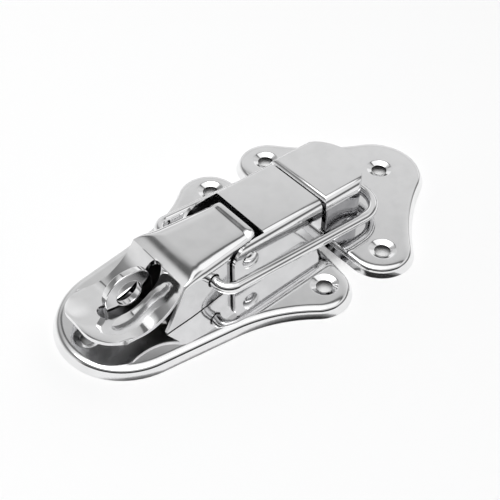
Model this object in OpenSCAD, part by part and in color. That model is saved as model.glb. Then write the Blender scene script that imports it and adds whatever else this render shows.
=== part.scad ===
// Toggle latch of pressed, bright-plated steel sheet, closed.
// Lengths are in millimetres and angles in degrees. X runs along the latch, from the lever's lip
// to the catch, Y runs across it, and Z is up from the surface that both plates are screwed to.
// Places along X are measured from the parting plane between the two plates.

/* [Plates] */
// Thickness of the sheet of both plates
plate_t = 0.9; // [0.7:0.1:1.1]
// Height of the plates' flat tops above the mounting surface
plate_h = 2.7; // [2.4:0.1:3.2]
// Outward lean of the turned-down rim, from its top to its foot
rim_flare = 0.7; // [0.3:0.1:1]
// Outside radius of the turn at the top of the rim
rim_r = 1.3; // [1.2:0.1:1.6]
// Radius of the four screw lobes
lobe_r = 9.5; // [8.5:0.1:10.5]

/* [Base plate] */
// Distance of the base plate's straight edge from the parting plane
base_setback = 2; // [1.5:0.1:2.5]
// Length of the base plate
base_len = 72.2; // [70:0.1:78]
// Radius of the base plate's narrow end
base_end_r = 19; // [18:0.1:20]
// Distance of the lobes' centres from the base plate's straight edge
base_lobe_x = 10.6; // [10:0.1:11.5]
// Distance of the lobes' centres from the long axis
base_lobe_y = 22.6; // [21.5:0.1:24]
// Direction of the flank where it leaves the narrow end
flank_a = 8; // [6:0.5:10]
// Radius of the hollow between flank and lobe
flank_r = 40; // [32:0.5:46]
// Angle at which a lobe runs into the straight edge
toe_a = 8; // [6:0.5:10]

/* [Catch plate] */
// Distance of the catch plate's straight edge from the parting plane
catch_setback = 0.5; // [0.3:0.1:0.8]
// Length of the catch plate
catch_len = 44.9; // [43:0.1:48]
// Radius of the catch plate's far end
catch_end_r = 14.2; // [13:0.1:15]
// Distance of the lobes' centres from the long axis
catch_lobe_y = 23; // [22:0.1:24]
// Radius of the hollow between lobe and far end
catch_flank_r = 65; // [50:1:90]

/* [Screw holes] */
// Diameter of the screw holes
hole_d = 4; // [3.6:0.1:4.4]
// Diameter of the pressed dimple around a hole
dimple_d = 7.2; // [6.8:0.1:7.6]
// Distance of the base plate's pair from its straight edge
base_hole_x = 8.9; // [8:0.1:10]
// Distance between the base plate's pair of holes
base_hole_pitch = 47.8; // [46:0.2:49]
// Distance of the end hole from the base plate's narrow end
base_end_hole = 7.4; // [7:0.1:8]
// Distance of the catch plate's pair from its straight edge
catch_hole_x = 9.4; // [8.5:0.1:10.5]
// Distance between the catch plate's pair of holes
catch_hole_pitch = 48.4; // [46:0.2:49]
// Distance of the end hole from the catch plate's far end
catch_end_hole = 12.3; // [11:0.1:13]

/* [Bracket] */
// Thickness of the bracket's sheet
bracket_t = 0.9; // [0.7:0.1:1]
// Outside width of the bracket
bracket_w = 21.8; // [20:0.1:24]
// Height of the bracket's top above the mounting surface
bracket_h = 16; // [15.8:0.1:17]
// Length of the bracket's flat top
bracket_len = 18.9; // [16:0.1:19.5]
// Gap from the parting plane to the bracket's end
bracket_setback = 0.5; // [0.3:0.1:1.5]
// Outside radius of the bracket's shoulders
bracket_r = 2.2; // [1.5:0.1:3]
// Radius of the ears around the pivot
ear_r = 5.2; // [4.5:0.1:5.4]
// Distance of the lever's pivot from the parting plane
pivot_x = 24.7; // [24:0.1:26]
// Height of the lever's pivot above the mounting surface
pivot_z = 10.3; // [10:0.1:10.5]

/* [Pin] */
// Diameter of the lever's pin
pin_d = 3; // [2.5:0.1:3.5]
// Diameter of the pin's domed heads
pin_head_d = 4.8; // [4.2:0.1:6]
// Height of the pin's domed heads
pin_head_h = 1; // [0.6:0.1:1.2]
// Radial clearance of a pin or wire in its hole
run_gap = 0.05; // [0.03:0.01:0.08]

/* [Lever] */
// Thickness of the lever's sheet
lever_t = 0.9; // [0.7:0.1:1]
// Gap between the lever's sides and the bracket's walls, at the ears' front
lever_gap = 0.5; // [0.3:0.1:0.8]
// Angle at which each side of the lever flares forwards
lever_flare = 6; // [4:0.5:7]
// Outside radius of the lever's shoulders
lever_r = 2.4; // [1.6:0.1:3]
// Distance from the pivot back to the lever's rear edge
lever_rear = 3.4; // [2.5:0.1:3.6]
// Length of the step pressed along the rear edge
step_len = 2.5; // [2:0.1:3]
// Depth of that step
step_drop = 0.7; // [0.3:0.1:1]
// Distance from the pivot forwards to the two pointed corners of the crest
crest_x = 20.5; // [19.5:0.1:22]
// Height of the lever's top above the pivot, behind the step
top_rise = 4.7; // [4.2:0.1:4.8]
// Fall of the lever's top from the step to the crest
top_fall = 1; // [0.5:0.1:1.5]
// Bow of the crest between its corners
crest_bow = 3; // [2:0.1:3.5]
// Forward lean of the side walls' front edges
wall_lean = 6.6; // [4:0.1:8]
// Gap under the side walls
wall_gap = 0.3; // [0.2:0.05:0.5]

/* [Lip] */
// Radius of the crest's roll
crest_r = 1.6; // [1.2:0.1:2]
// Slope of the lip below the crest
lip_drop = 62; // [58:1:64]
// Radius of the lip's hollow
lip_r = 12.7; // [12:0.1:13]
// Upward slope of the lip at its front
lip_curl = 16; // [12:1:18]
// Reach of the lip in front of the crest's corners
lip_reach = 24.3; // [23.5:0.1:25]
// Half width of the lip
lip_half = 11.2; // [10.9:0.1:12]
// Length over which the lip's front is rounded off
lip_round = 7.7; // [6.5:0.1:9]
// Width of the slot for the staple
slot_w = 4.6; // [4:0.1:5]

/* [Padlock staple] */
// Thickness of the staple
staple_t = 1.5; // [1.2:0.1:2]
// Distance of the staple's eye from the parting plane
staple_x = 54.7; // [54:0.1:55.4]
// Height of the eye above the mounting surface
staple_z = 10.5; // [10.2:0.1:11]
// Radius of the staple's round top
staple_r = 6.7; // [6:0.1:7]
// Diameter of the padlock hole
eye_d = 7; // [5.5:0.1:7.4]
// Gap between the staple and the ends of the lip's slot
slot_gap = 2; // [1.8:0.1:2.4]

/* [Bail] */
// Diameter of the bail's wire
wire_d = 3; // [2.6:0.1:3.4]
// Distance from the lever's pivot forwards to the bail's
bail_arm = 11.2; // [10.5:0.1:12]
// Distance of the bail's pivot below the lever's
bail_drop = 0.5; // [0.3:0.1:1]
// Width of the bail between the middles of its legs
bail_w = 30.4; // [29.4:0.1:32]
// Bend radius where the legs turn in to the lever
bail_turn_r = 3.5; // [3:0.1:4]
// Bend radius at the hooked end
bail_hook_r = 8; // [6.5:0.1:9]
// Length of wire end inside the lever's wall
bail_end = 1.6; // [1:0.1:2.5]
// Height of the hooked end above the mounting surface
hook_z = 6.2; // [5.6:0.1:6.8]
// Gap between the hooked end and the keeper
hook_gap = 0.15; // [0.1:0.05:0.4]

/* [Catch hood] */
// Thickness of the hood's sheet
hood_t = 0.9; // [0.7:0.1:1]
// Outside width of the hood
hood_w = 22.8; // [21:0.1:25]
// Distance of the hood's near edge from the parting plane
hood_setback = 0.9; // [0.6:0.1:1.5]
// Length of the hood
hood_len = 18.4; // [17:0.1:20]
// Radius of the hood's far end, seen from above
hood_end_r = 12.5; // [12.5:0.1:14]
// Outside radius of the hood's shoulders
hood_r = 2.2; // [1.5:0.1:2.6]
// Outside radius of the hood's near edge
hood_edge_r = 1.2; // [1.1:0.1:2]
// Depth of the hood's skirt below its top
hood_skirt = 3.4; // [2.8:0.1:3.6]

/* [Catch keeper] */
// Thickness of the keeper's sheet
keeper_t = 1; // [0.8:0.1:1.2]
// Distance of the keeper's walls inside the hood's outside
keeper_inset = 1.5; // [1.2:0.1:2]

/* [Tenons] */
// Length of a staked tenon along the wall
tenon_l = 4; // [3:0.1:5]
// Length of a tenon's end below the plate
tenon_end = 0.4; // [0.2:0.05:0.6]
// Clearance around a tenon in its slot
tenon_gap = 0.05; // [0.02:0.01:0.1]

/* [Hidden] */
$fn = 64;
eps = 0.01;
over = 1;

base_edge_x = -base_setback;
base_end_x = base_edge_x - base_len;
catch_edge_x = catch_setback;
catch_end_x = catch_edge_x + catch_len;
mid_x = (base_end_x + catch_end_x) / 2;

base_lobe = [base_edge_x - base_lobe_x, base_lobe_y];
base_end = [base_end_x + base_end_r, 0];
catch_lobe = [catch_edge_x + lobe_r, catch_lobe_y];
catch_end = [catch_end_x - catch_end_r, 0];
base_holes = [[base_edge_x - base_hole_x, base_hole_pitch / 2],
              [base_edge_x - base_hole_x, -base_hole_pitch / 2],
              [base_end_x + base_end_hole, 0]];
catch_holes = [[catch_edge_x + catch_hole_x, catch_hole_pitch / 2],
               [catch_edge_x + catch_hole_x, -catch_hole_pitch / 2],
               [catch_end_x - catch_end_hole, 0]];

pivot = [-pivot_x, 0, pivot_z];
bail_pivot = [-pivot_x - bail_arm, 0, pivot_z - bail_drop];
bracket_end_x = -bracket_setback;
bracket_top_x = bracket_end_x - bracket_len;
ear_front_x = -pivot_x - ear_r;
bracket_half = bracket_w / 2;
bracket_in = bracket_half - bracket_t;
ear_in = bracket_in - lever_gap / 2;

lever_rear_x = -pivot_x + lever_rear;
lever_ear_x = -pivot_x - crest_x;
lever_top_z = pivot_z + top_rise;
crest_z = lever_top_z - top_fall;
lever_foot_z = plate_h + wall_gap;

hood_z = bracket_h;
hood_x = hood_setback;
hood_end_x = hood_x + hood_len;
keeper_half = hood_w / 2 - keeper_inset;
keeper_x = hood_x + keeper_inset;
keeper_end_x = hood_end_x - keeper_inset;
keeper_top_z = hood_z - hood_t;
wire_r = wire_d / 2;
hook_x = keeper_end_x + hook_gap + wire_r;
hook_d = [hook_x - bail_pivot[0], hook_z - bail_pivot[2]];
bail_len = norm(hook_d);
bail_tilt = -atan2(hook_d[1], hook_d[0]);
bail_half = bail_w / 2;

slot_front_x = -staple_x - staple_r - slot_gap;
slot_rear_x = -staple_x + staple_r + slot_gap + slot_w / 4;

bracket_tenons_x = [ear_front_x + tenon_l,
                    (ear_front_x + bracket_end_x) / 2,
                    bracket_end_x - tenon_l];
staple_tenons_x = [-staple_x - staple_r / 2, -staple_x + staple_r / 2];
keeper_tenons_x = [keeper_x + tenon_l, keeper_x + 2.5 * tenon_l];

// Helpers

function mix(a, b, f) = a + (b - a) * f;
function turn(a) = [cos(a), sin(a)];
function angle_of(v) = atan2(v[1], v[0]);

// Points of an arc, both ends included
function arc(c, r, a0, a1, n) = [for (k = [0 : n]) c + r * turn(mix(a0, a1, k / n))];

// The same points without the first
function past(pts) = [for (k = [1 : len(pts) - 1]) pts[k]];

function flip_y(pts) = [for (k = [len(pts) - 1 : -1 : 0]) [pts[k][0], -pts[k][1]]];

// Place where a circle of radius ra about a crosses one of radius rb about b, to the left of a to b
function crossing(a, ra, b, rb) =
    let (d = norm(b - a), u = (b - a) / d, m = (d * d + ra * ra - rb * rb) / (2 * d))
    a + m * u + sqrt(ra * ra - m * m) * [-u[1], u[0]];

function quad(a, b, c, d) = [[a, b, c], [a, c, d]];

// Closed skin through a list of rings that all have the same number of points
module skin(rings) {
    n = len(rings[0]);
    m = len(rings);
    sides = [for (k = [0 : m - 2], j = [0 : n - 1])
        for (t = quad(k * n + j, (k + 1) * n + j, (k + 1) * n + (j + 1) % n, k * n + (j + 1) % n)) t];
    first = [for (j = [0 : n - 1]) j];
    last = [for (j = [n - 1 : -1 : 0]) (m - 1) * n + j];
    polyhedron([for (ring = rings) each ring], concat([first], sides, [last]), convexity = 6);
}

// Plates

arc_steps = 10;

// Half of the base plate's outline, drawn in by d, from the straight edge round to the narrow end
function base_half(d) =
    let (
        dir = turn(flank_a),
        nor = [-dir[1], dir[0]],
        from = base_end + (base_end_r - d) * turn(90 + flank_a),
        q = from + (flank_r + d) * nor - base_lobe,
        h = q * dir,
        s = -h - sqrt(h * h - q * q + pow(flank_r + lobe_r, 2)),
        hollow = from + s * dir + (flank_r + d) * nor,
        join = angle_of(hollow - base_lobe),
        toe = base_lobe + (lobe_r - d) * turn(toe_a),
        edge = base_edge_x - d
    )
    concat(
        [[edge, toe[1] - (edge - toe[0]) / tan(toe_a)]],
        arc(base_lobe, lobe_r - d, toe_a, join, 2 * arc_steps),
        past(arc(hollow, flank_r + d, join - 180, flank_a - 90, arc_steps)),
        arc(base_end, base_end_r - d, 90 + flank_a, 180, 2 * arc_steps));

// Half of the catch plate's outline, drawn in by d, from the far end round to the straight edge
function catch_half(d) =
    let (
        hollow = crossing(catch_lobe, catch_flank_r + lobe_r, catch_end, catch_flank_r + catch_end_r),
        low = angle_of(hollow - catch_end),
        high = angle_of(hollow - catch_lobe)
    )
    concat(
        arc(catch_end, catch_end_r - d, 0, low, 2 * arc_steps),
        past(arc(hollow, catch_flank_r + d, low + 180, high + 180, arc_steps)),
        past(arc(catch_lobe, lobe_r - d, high, 180, 2 * arc_steps)));

// Whole outlines, anticlockwise from above, without a doubled point on the axis
function base_outline(d) =
    let (h = base_half(d), n = len(h))
    concat(h, flip_y([for (k = [0 : n - 2]) h[k]]));
function catch_outline(d) =
    let (h = catch_half(d), n = len(h))
    concat(h, flip_y([for (k = [1 : n - 1]) h[k]]));

// Inset and height of the rim's section, from the flat's underside round the foot to the flat's top
rim_turns = [0, 30, 60, 90];
rim_in_r = rim_r - plate_t;
rim_z = plate_h - rim_r;
rim_section = concat(
    [for (k = [3 : -1 : 0]) [rim_flare + plate_t + rim_in_r * (1 - cos(rim_turns[k])),
                             rim_z + rim_in_r * sin(rim_turns[k])]],
    [[plate_t, 0], [0, 0]],
    [for (a = rim_turns) [rim_flare + rim_r * (1 - cos(a)), rim_z + rim_r * sin(a)]]);

function at_z(pts, z) = [for (p = pts) [p[0], p[1], z]];

dimple_r = dimple_d / 2;
dimple_land = 0.6;
dimple_bend = 0.5;

// Sheet pressed down to the mounting surface around a screw hole
module dimple() {
    rim = dimple_r + dimple_land;
    foot = hole_d / 2;
    rotate_extrude()
        polygon([[foot, 0], [foot + dimple_bend, 0], [dimple_r - dimple_bend, plate_h - plate_t],
                 [rim, plate_h - plate_t], [rim, plate_h], [dimple_r, plate_h],
                 [foot + dimple_bend, plate_t], [foot, plate_t]]);
}

module dimples(places) {
    for (p = places)
        translate([p[0], p[1], 0]) dimple();
}

module dimple_cuts(places) {
    for (p = places)
        translate([p[0], p[1], -over])
            cylinder(r = dimple_r + dimple_land - eps, h = plate_h + 2 * over);
}

// Box around a tenon, grown by gap: centred on x and y, wide in Y
module tenon(x, y, thick, gap) {
    low = plate_h - plate_t - tenon_end;
    translate([x - tenon_l / 2 - gap, y - thick / 2 - gap, low - (gap > 0 ? over : 0)])
        cube([tenon_l + 2 * gap, thick + 2 * gap, plate_h - low + (gap > 0 ? 2 * over : eps)]);
}

module bracket_tenons(gap) {
    for (x = bracket_tenons_x, s = [-1, 1])
        tenon(x, s * (bracket_half - bracket_t / 2), bracket_t, gap);
}

module staple_tenons(gap) {
    for (x = staple_tenons_x)
        tenon(x, 0, staple_t, gap);
}

module keeper_tenons(gap) {
    for (x = keeper_tenons_x, s = [-1, 1])
        tenon(x, s * (keeper_half - keeper_t / 2), keeper_t, gap);
}

module base_plate() color("gainsboro") translate([-mid_x, 0, 0]) {
    difference() {
        skin([for (p = rim_section) at_z(base_outline(p[0]), p[1])]);
        dimple_cuts(base_holes);
        bracket_tenons(tenon_gap);
        staple_tenons(tenon_gap);
    }
    dimples(base_holes);
}

module catch_plate() color("gainsboro") translate([-mid_x, 0, 0]) {
    difference() {
        skin([for (p = rim_section) at_z(catch_outline(p[0]), p[1])]);
        dimple_cuts(catch_holes);
        keeper_tenons(tenon_gap);
    }
    dimples(catch_holes);
}

// Bracket

// Channel section in Y and Z: half width, top height and shoulder radius, standing on low
module channel(half, top, r, low) {
    translate([-half, low]) square([2 * half, top - r - low]);
    translate([-half + r, low]) square([2 * (half - r), top - low]);
    for (s = [-1, 1])
        translate([s * (half - r), top - r]) circle(r = r);
}

// Extrude a section of Y and Z along X from x0 to x1
module along_x(x0, x1) {
    translate([x0, 0, 0])
        rotate([90, 0, 90])
            linear_extrude(x1 - x0) children();
}

// Side outline of the bracket's walls in X and Z
module bracket_side() {
    translate([pivot[0], pivot_z]) circle(r = ear_r);
    translate([ear_front_x, plate_h])
        square([bracket_end_x - ear_front_x, pivot_z - plate_h]);
    polygon([[pivot[0], plate_h], [pivot[0], pivot_z + ear_r], [bracket_top_x, bracket_h],
             [bracket_end_x, bracket_h], [bracket_end_x, plate_h]]);
}

module bracket() color("lightgray") translate([-mid_x, 0, 0]) {
    difference() {
        intersection() {
            along_x(ear_front_x, bracket_end_x)
                difference() {
                    channel(bracket_half, bracket_h, bracket_r, plate_h);
                    channel(bracket_in, bracket_h - bracket_t, bracket_r - bracket_t, plate_h - over);
                }
            translate([0, bracket_half + over, 0])
                rotate([90, 0, 0])
                    linear_extrude(bracket_w + 2 * over) bracket_side();
        }
        translate([ear_front_x - over, -ear_in, bracket_h - bracket_r])
            cube([bracket_top_x - ear_front_x + over, 2 * ear_in, bracket_r + over]);
        across(pivot, pin_d / 2);
    }
    bracket_tenons(0);
}

// Long cylinder across the latch
module across(place, r) {
    translate([place[0], bracket_w + bail_w, place[2]])
        rotate([90, 0, 0])
            cylinder(r = r, h = 2 * (bracket_w + bail_w));
}

// Pin: a plain shank between two domed heads

module pin_head() {
    r = pin_head_d / 2;
    ball = (r * r + pin_head_h * pin_head_h) / (2 * pin_head_h);
    intersection() {
        translate([0, 0, pin_head_h - ball]) sphere(r = ball);
        cylinder(r = pin_head_d, h = pin_head_h + over);
    }
}

module lever_pin() color("silver") translate([-mid_x, 0, 0]) {
    translate([pivot[0], bracket_half, pivot_z])
        rotate([90, 0, 0])
            cylinder(r = pin_d / 2, h = bracket_w);
    for (s = [-1, 1])
        translate([pivot[0], s * bracket_half, pivot_z])
            rotate([-s * 90, 0, 0])
                pin_head();
}

// Lever

// The sheet is a grid. Columns run from one wall's foot over the top to the other's, and rows from
// the rear edge to the crest. The rows beyond the crest have only the top's columns: the lip.
top_cols = 6;
bend_cols = 6;
wall_cols = 2;
ear_col = top_cols;
wall_col = top_cols + bend_cols;
foot_col = wall_col + wall_cols;
crest_row = 9;
lip_rows = 22;
last_row = crest_row + lip_rows;
flat_rows = 5;
sharp_r = lever_t + 0.15;

function lever_half(x) = bracket_in - lever_gap + (ear_front_x - x) * tan(lever_flare);
function row_x(v) = v == 0 ? lever_rear_x
    : mix(lever_rear_x - step_len, lever_ear_x, (v - 1) / (crest_row - 1));
function row_z(v) = v == 0 ? lever_top_z - step_drop
    : mix(lever_top_z, crest_z, (v - 1) / (crest_row - 1));
function row_end(v) = max(0, (v - flat_rows) / (crest_row - flat_rows));
function row_r(v) = mix(lever_r, sharp_r, row_end(v));
// Height of the walls' feet: they rise towards the rear edge, so that the lever can turn
function row_foot(v) = v == 0 ? pivot_z - lever_rear - wall_gap
    : v == 1 ? mix(lever_foot_z, pivot_z, 0.2)
    : lever_foot_z;

// Place in Y and Z on a section, from the middle of the top (0) to a wall's foot (foot_col)
function section_y(k, w, r) = k <= ear_col ? k / top_cols * (w - r)
    : w - r + r * cos(90 * max(0, wall_col - k) / bend_cols);
function section_z(k, r, top, foot) = k <= ear_col ? top
    : k <= wall_col ? top - r + r * sin(90 * (wall_col - k) / bend_cols)
    : mix(top - r, foot, (k - wall_col) / wall_cols);

function channel_point(v, i, skin_t) =
    let (
        k = abs(i),
        side = i < 0 ? -1 : 1,
        x = row_x(v),
        w = lever_half(x),
        top = row_z(v),
        y = section_y(k, w - skin_t, row_r(v) - skin_t),
        z = section_z(k, row_r(v) - skin_t, top - skin_t, row_foot(v)),
        bow = crest_bow * (1 - pow(min(1, y / (w - row_r(v))), 2)) * row_end(v),
        lean = wall_lean * max(0, top - z) / (top - row_foot(v)) * row_end(v)
    )
    [x + bow - lean, side * y, z];

// Profile of the lip: roll of the crest, hollow, then straight up to the front
roll_x = crest_r * sin(lip_drop);
roll_z = crest_r * (1 - cos(lip_drop));
hollow_x = lever_ear_x - roll_x - lip_r * sin(lip_drop);
hollow_z = crest_z - roll_z - lip_r * (1 - cos(lip_drop));
lip_front_x = lever_ear_x - lip_reach;
roll_rows = 5;
drop_rows = 7;
front_rows = lip_rows - roll_rows - drop_rows;

function front_x(y) = lip_front_x + lip_round * (1 - sqrt(max(0, 1 - pow(y / lip_half, 2))));

// Place and slope on the lip in X and Z, for row q below the crest and a column at y
function lip_place(q, y) =
    q <= roll_rows ?
        let (a = lip_drop * q / roll_rows)
        [lever_ear_x - crest_r * sin(a), crest_z - crest_r * (1 - cos(a)), -a]
    : q <= roll_rows + drop_rows ?
        let (a = lip_drop * (1 - (q - roll_rows) / drop_rows))
        [hollow_x + lip_r * sin(a), hollow_z + lip_r * (1 - cos(a)), -a]
    :
        let (
            x = mix(hollow_x, front_x(y), (q - roll_rows - drop_rows) / front_rows),
            s = (hollow_x - x) / lip_r,
            a = min(lip_curl, asin(min(1, s))),
            rest = max(0, hollow_x - x - lip_r * sin(lip_curl))
        )
        [x, hollow_z + lip_r * (1 - cos(a)) + rest * tan(lip_curl), a];

function lip_point(v, i, skin_t) =
    let (
        q = v - crest_row,
        k = abs(i),
        side = i < 0 ? -1 : 1,
        first = lever_half(lever_ear_x) - sharp_r,
        half = mix(first, lip_half, min(1, q / roll_rows)),
        y = k / top_cols * half,
        p = lip_place(q, y),
        fade = max(0, 1 - q / (roll_rows + drop_rows)),
        bow = crest_bow * (1 - pow(k / top_cols, 2)) * pow(fade, 1.5)
    )
    [p[0] + bow - skin_t * sin(p[2]), side * y, p[1] - skin_t * cos(p[2])];

function lever_point(v, i, skin_t) =
    v <= crest_row ? channel_point(v, i, skin_t) : lip_point(v, i, skin_t);

channel_cols = 2 * foot_col + 1;
lip_cols = 2 * ear_col + 1;
function lever_index(v, i) = v <= crest_row ? v * channel_cols + i + foot_col
    : (crest_row + 1) * channel_cols + (v - crest_row - 1) * lip_cols + i + ear_col;
function row_cols(v) = v <= crest_row ? foot_col : ear_col;

lever_cells = [for (v = [0 : last_row - 1]) let (c = row_cols(v + 1)) for (i = [-c : c - 1]) [v, i]];

// The sheet's edge, once round
lever_edge = concat(
    [for (i = [-foot_col : foot_col - 1]) [0, i]],
    [for (v = [0 : crest_row - 1]) [v, foot_col]],
    [for (i = [foot_col : -1 : ear_col + 1]) [crest_row, i]],
    [for (v = [crest_row : last_row - 1]) [v, ear_col]],
    [for (i = [ear_col : -1 : -ear_col + 1]) [last_row, i]],
    [for (v = [last_row : -1 : crest_row + 1]) [v, -ear_col]],
    [for (i = [-ear_col : -1 : -foot_col + 1]) [crest_row, i]],
    [for (v = [crest_row : -1 : 1]) [v, -foot_col]]);

module lever_sheet() {
    function points(skin_t) = [for (v = [0 : last_row]) let (c = row_cols(v)) for (i = [-c : c])
        lever_point(v, i, skin_t)];
    outer = points(0);
    inner = points(lever_t);
    n = len(outer);
    upper = [for (c = lever_cells) each quad(lever_index(c[0], c[1]), lever_index(c[0] + 1, c[1]),
        lever_index(c[0] + 1, c[1] + 1), lever_index(c[0], c[1] + 1))];
    lower = [for (f = upper) [n + f[0], n + f[2], n + f[1]]];
    ring = [for (e = lever_edge) lever_index(e[0], e[1])];
    m = len(ring);
    edges = [for (j = [0 : m - 1])
        each quad(ring[j], ring[(j + 1) % m], n + ring[(j + 1) % m], n + ring[j])];
    polyhedron(concat(outer, inner), concat(upper, lower, edges), convexity = 10);
}

// Long round-ended slot through the lip
module lip_slot() {
    r = slot_w / 2;
    translate([0, 0, plate_h])
        linear_extrude(bracket_h) {
            translate([slot_front_x + r, -r]) square([slot_rear_x - slot_front_x - slot_w, slot_w]);
            for (x = [slot_front_x + r, slot_rear_x - r])
                translate([x, 0]) circle(r = r);
        }
}

module lever() color("whitesmoke") translate([-mid_x, 0, 0])
    difference() {
        lever_sheet();
        lip_slot();
        across(pivot, pin_d / 2 + run_gap);
        across(bail_pivot, wire_r + run_gap);
    }

// Bail: one wire, drawn level from its pivot and then tilted down to the keeper

module wire_x(x0, x1, y) {
    translate([x0, y, 0])
        rotate([0, 90, 0])
            cylinder(r = wire_r, h = x1 - x0);
}

module wire_y(x, y0, y1) {
    translate([x, y0, 0])
        rotate([-90, 0, 0])
            cylinder(r = wire_r, h = y1 - y0);
}

// Quarter bend about a centre, from angle a onwards
module wire_bend(x, y, r, a) {
    translate([x, y, 0])
        rotate([0, 0, a])
            rotate_extrude(angle = 90)
                translate([r, 0]) circle(r = wire_r);
}

module bail_half_wire() {
    inner_y = lever_half(bail_pivot[0]) - lever_t - bail_end;
    turn_y = bail_half - bail_turn_r;
    hook_y = bail_half - bail_hook_r;
    wire_y(0, inner_y, turn_y);
    wire_bend(bail_turn_r, turn_y, bail_turn_r, 90);
    wire_x(bail_turn_r, bail_len - bail_hook_r, bail_half);
    wire_bend(bail_len - bail_hook_r, hook_y, bail_hook_r, 0);
}

module bail() color("silver") translate([-mid_x, 0, 0])
    translate(bail_pivot)
        rotate([0, bail_tilt, 0]) {
            bail_half_wire();
            mirror([0, 1, 0]) bail_half_wire();
            wire_y(bail_len, -(bail_half - bail_hook_r), bail_half - bail_hook_r);
        }

// Padlock staple

module padlock_staple() color("lightgray") translate([-mid_x, 0, 0]) {
    translate([0, staple_t / 2, 0])
        rotate([90, 0, 0])
            linear_extrude(staple_t)
                difference() {
                    union() {
                        translate([-staple_x, staple_z]) circle(r = staple_r);
                        translate([-staple_x - staple_r, plate_h])
                            square([2 * staple_r, staple_z - plate_h]);
                    }
                    translate([-staple_x, staple_z]) circle(d = eye_d);
                }
    staple_tenons(0);
}

// Catch hood and keeper

// Plan of the hood, drawn in by d: straight near edge, straight sides and a round far end
module hood_plan(d) {
    half = hood_w / 2 - d;
    intersection() {
        translate([hood_x + d, -half]) square([hood_len - 2 * d, 2 * half]);
        union() {
            translate([hood_end_x - hood_end_r, 0]) circle(r = hood_end_r - d);
            translate([hood_x, -hood_w / 2]) square([hood_len - hood_end_r, hood_w]);
        }
    }
}

// Hood shape drawn in by d, from low up to top, with its bends as on the outside (d = 0) or inside
module hood_body(d, low, top) {
    bend = d > 0 ? hood_r - hood_t : hood_r;
    edge = d > 0 ? hood_edge_r - hood_t : hood_edge_r;
    near = hood_x + d;
    intersection() {
        translate([0, 0, low]) linear_extrude(top - low) hood_plan(d);
        along_x(hood_x, hood_end_x) channel(hood_w / 2 - d, top, bend, low);
        translate([0, hood_w / 2, 0])
            rotate([90, 0, 0])
                linear_extrude(hood_w) {
                    translate([near + edge, low]) square([hood_len, top - low]);
                    translate([near, low]) square([edge, top - edge - low]);
                    translate([near + edge, top - edge]) circle(r = edge);
                }
    }
}

module catch_hood() color("lightgray") translate([-mid_x, 0, 0])
    difference() {
        hood_body(0, hood_z - hood_skirt, hood_z);
        hood_body(hood_t, hood_z - hood_skirt - over, hood_z - hood_t);
    }

module catch_keeper() color("silver") translate([-mid_x, 0, 0]) {
    difference() {
        hood_body(keeper_inset, plate_h, keeper_top_z);
        hood_body(keeper_inset + keeper_t, plate_h - over, keeper_top_z - keeper_t);
    }
    keeper_tenons(0);
}

base_plate();
bracket();
lever();
lever_pin();
bail();
padlock_staple();
catch_plate();
catch_hood();
catch_keeper();
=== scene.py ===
# %% [markdown]
# A toggle latch in bright plated steel.
# The real latch is a set of sheet-metal pressings: two plates that are screwed down, a bracket, a
# lever with a scooped lip, a hood over a keeper, a padlock staple, and one bent wire, the bail.
# In this lesson we load the measured parts, model each pressing again with smooth, rolled edges,
# and give it a plated finish. The parts themselves stay as they are underneath.

# %% Load the measured parts
import math

import bmesh
import bpy
from mathutils import Matrix, Vector


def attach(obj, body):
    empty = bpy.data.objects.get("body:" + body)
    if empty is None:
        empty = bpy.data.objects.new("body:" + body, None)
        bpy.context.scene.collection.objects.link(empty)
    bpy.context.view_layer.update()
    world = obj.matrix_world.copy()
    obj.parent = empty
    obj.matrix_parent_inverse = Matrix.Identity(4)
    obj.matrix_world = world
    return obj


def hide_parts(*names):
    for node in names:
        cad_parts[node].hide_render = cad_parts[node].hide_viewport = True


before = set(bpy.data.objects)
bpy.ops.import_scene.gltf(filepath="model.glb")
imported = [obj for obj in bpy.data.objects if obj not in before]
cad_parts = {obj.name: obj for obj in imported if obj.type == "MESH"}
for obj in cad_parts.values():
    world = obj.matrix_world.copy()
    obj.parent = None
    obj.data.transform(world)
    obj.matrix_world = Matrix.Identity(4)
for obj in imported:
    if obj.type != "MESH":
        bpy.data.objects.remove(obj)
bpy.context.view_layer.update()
print("nodes:", ", ".join(sorted(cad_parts)))

# %% [markdown]
# Everything on this latch was measured in millimetres from the parting line between the plates.
# Blender works in metres, and the parts have their origin in the middle of the latch, so one small
# function turns a measured place into a Blender place. The other helpers are habits that are worth
# having: leave edit mode and deselect everything before a new piece, select by place in code, and
# apply each modifier as soon as it is set.

# %% Units and small helpers
MM = 0.001
MID_X = 14.4
# Material slots: the plated skin, the dark painted shade of the insides, and the sheared edge with
# its painted highlight.
SKIN, PAINTED_SHADE_SLOT, CUT_EDGE_HIGHLIGHT_SLOT = 0, 1, 2


def place(x, y, z):
    return Vector(((x + MID_X) * MM, y * MM, z * MM))


def start_piece():
    if bpy.context.mode != "OBJECT":
        bpy.ops.object.mode_set(mode="OBJECT")
    bpy.ops.object.select_all(action="DESELECT")


def make_active(obj):
    start_piece()
    obj.select_set(True)
    bpy.context.view_layer.objects.active = obj


def edit(obj, kind="VERT"):
    make_active(obj)
    bpy.ops.object.mode_set(mode="EDIT")
    bpy.ops.mesh.select_mode(type=kind)
    bpy.ops.mesh.select_all(action="DESELECT")


def select_where(obj, kind, test):
    """Select the faces, edges or vertices that pass a test, in edit mode."""
    bpy.ops.mesh.select_mode(type=kind)
    bpy.ops.mesh.select_all(action="DESELECT")
    mesh = bmesh.from_edit_mesh(obj.data)
    items = {"FACE": mesh.faces, "EDGE": mesh.edges, "VERT": mesh.verts}[kind]
    for item in items:
        if test(item):
            item.select_set(True)
    mesh.select_flush_mode()
    bmesh.update_edit_mesh(obj.data)


def apply_modifier(obj, kind, **settings):
    make_active(obj)
    modifier = obj.modifiers.new(kind.lower(), kind)
    for key, value in settings.items():
        setattr(modifier, key, value)
    bpy.ops.object.modifier_apply(modifier=modifier.name)


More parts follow.
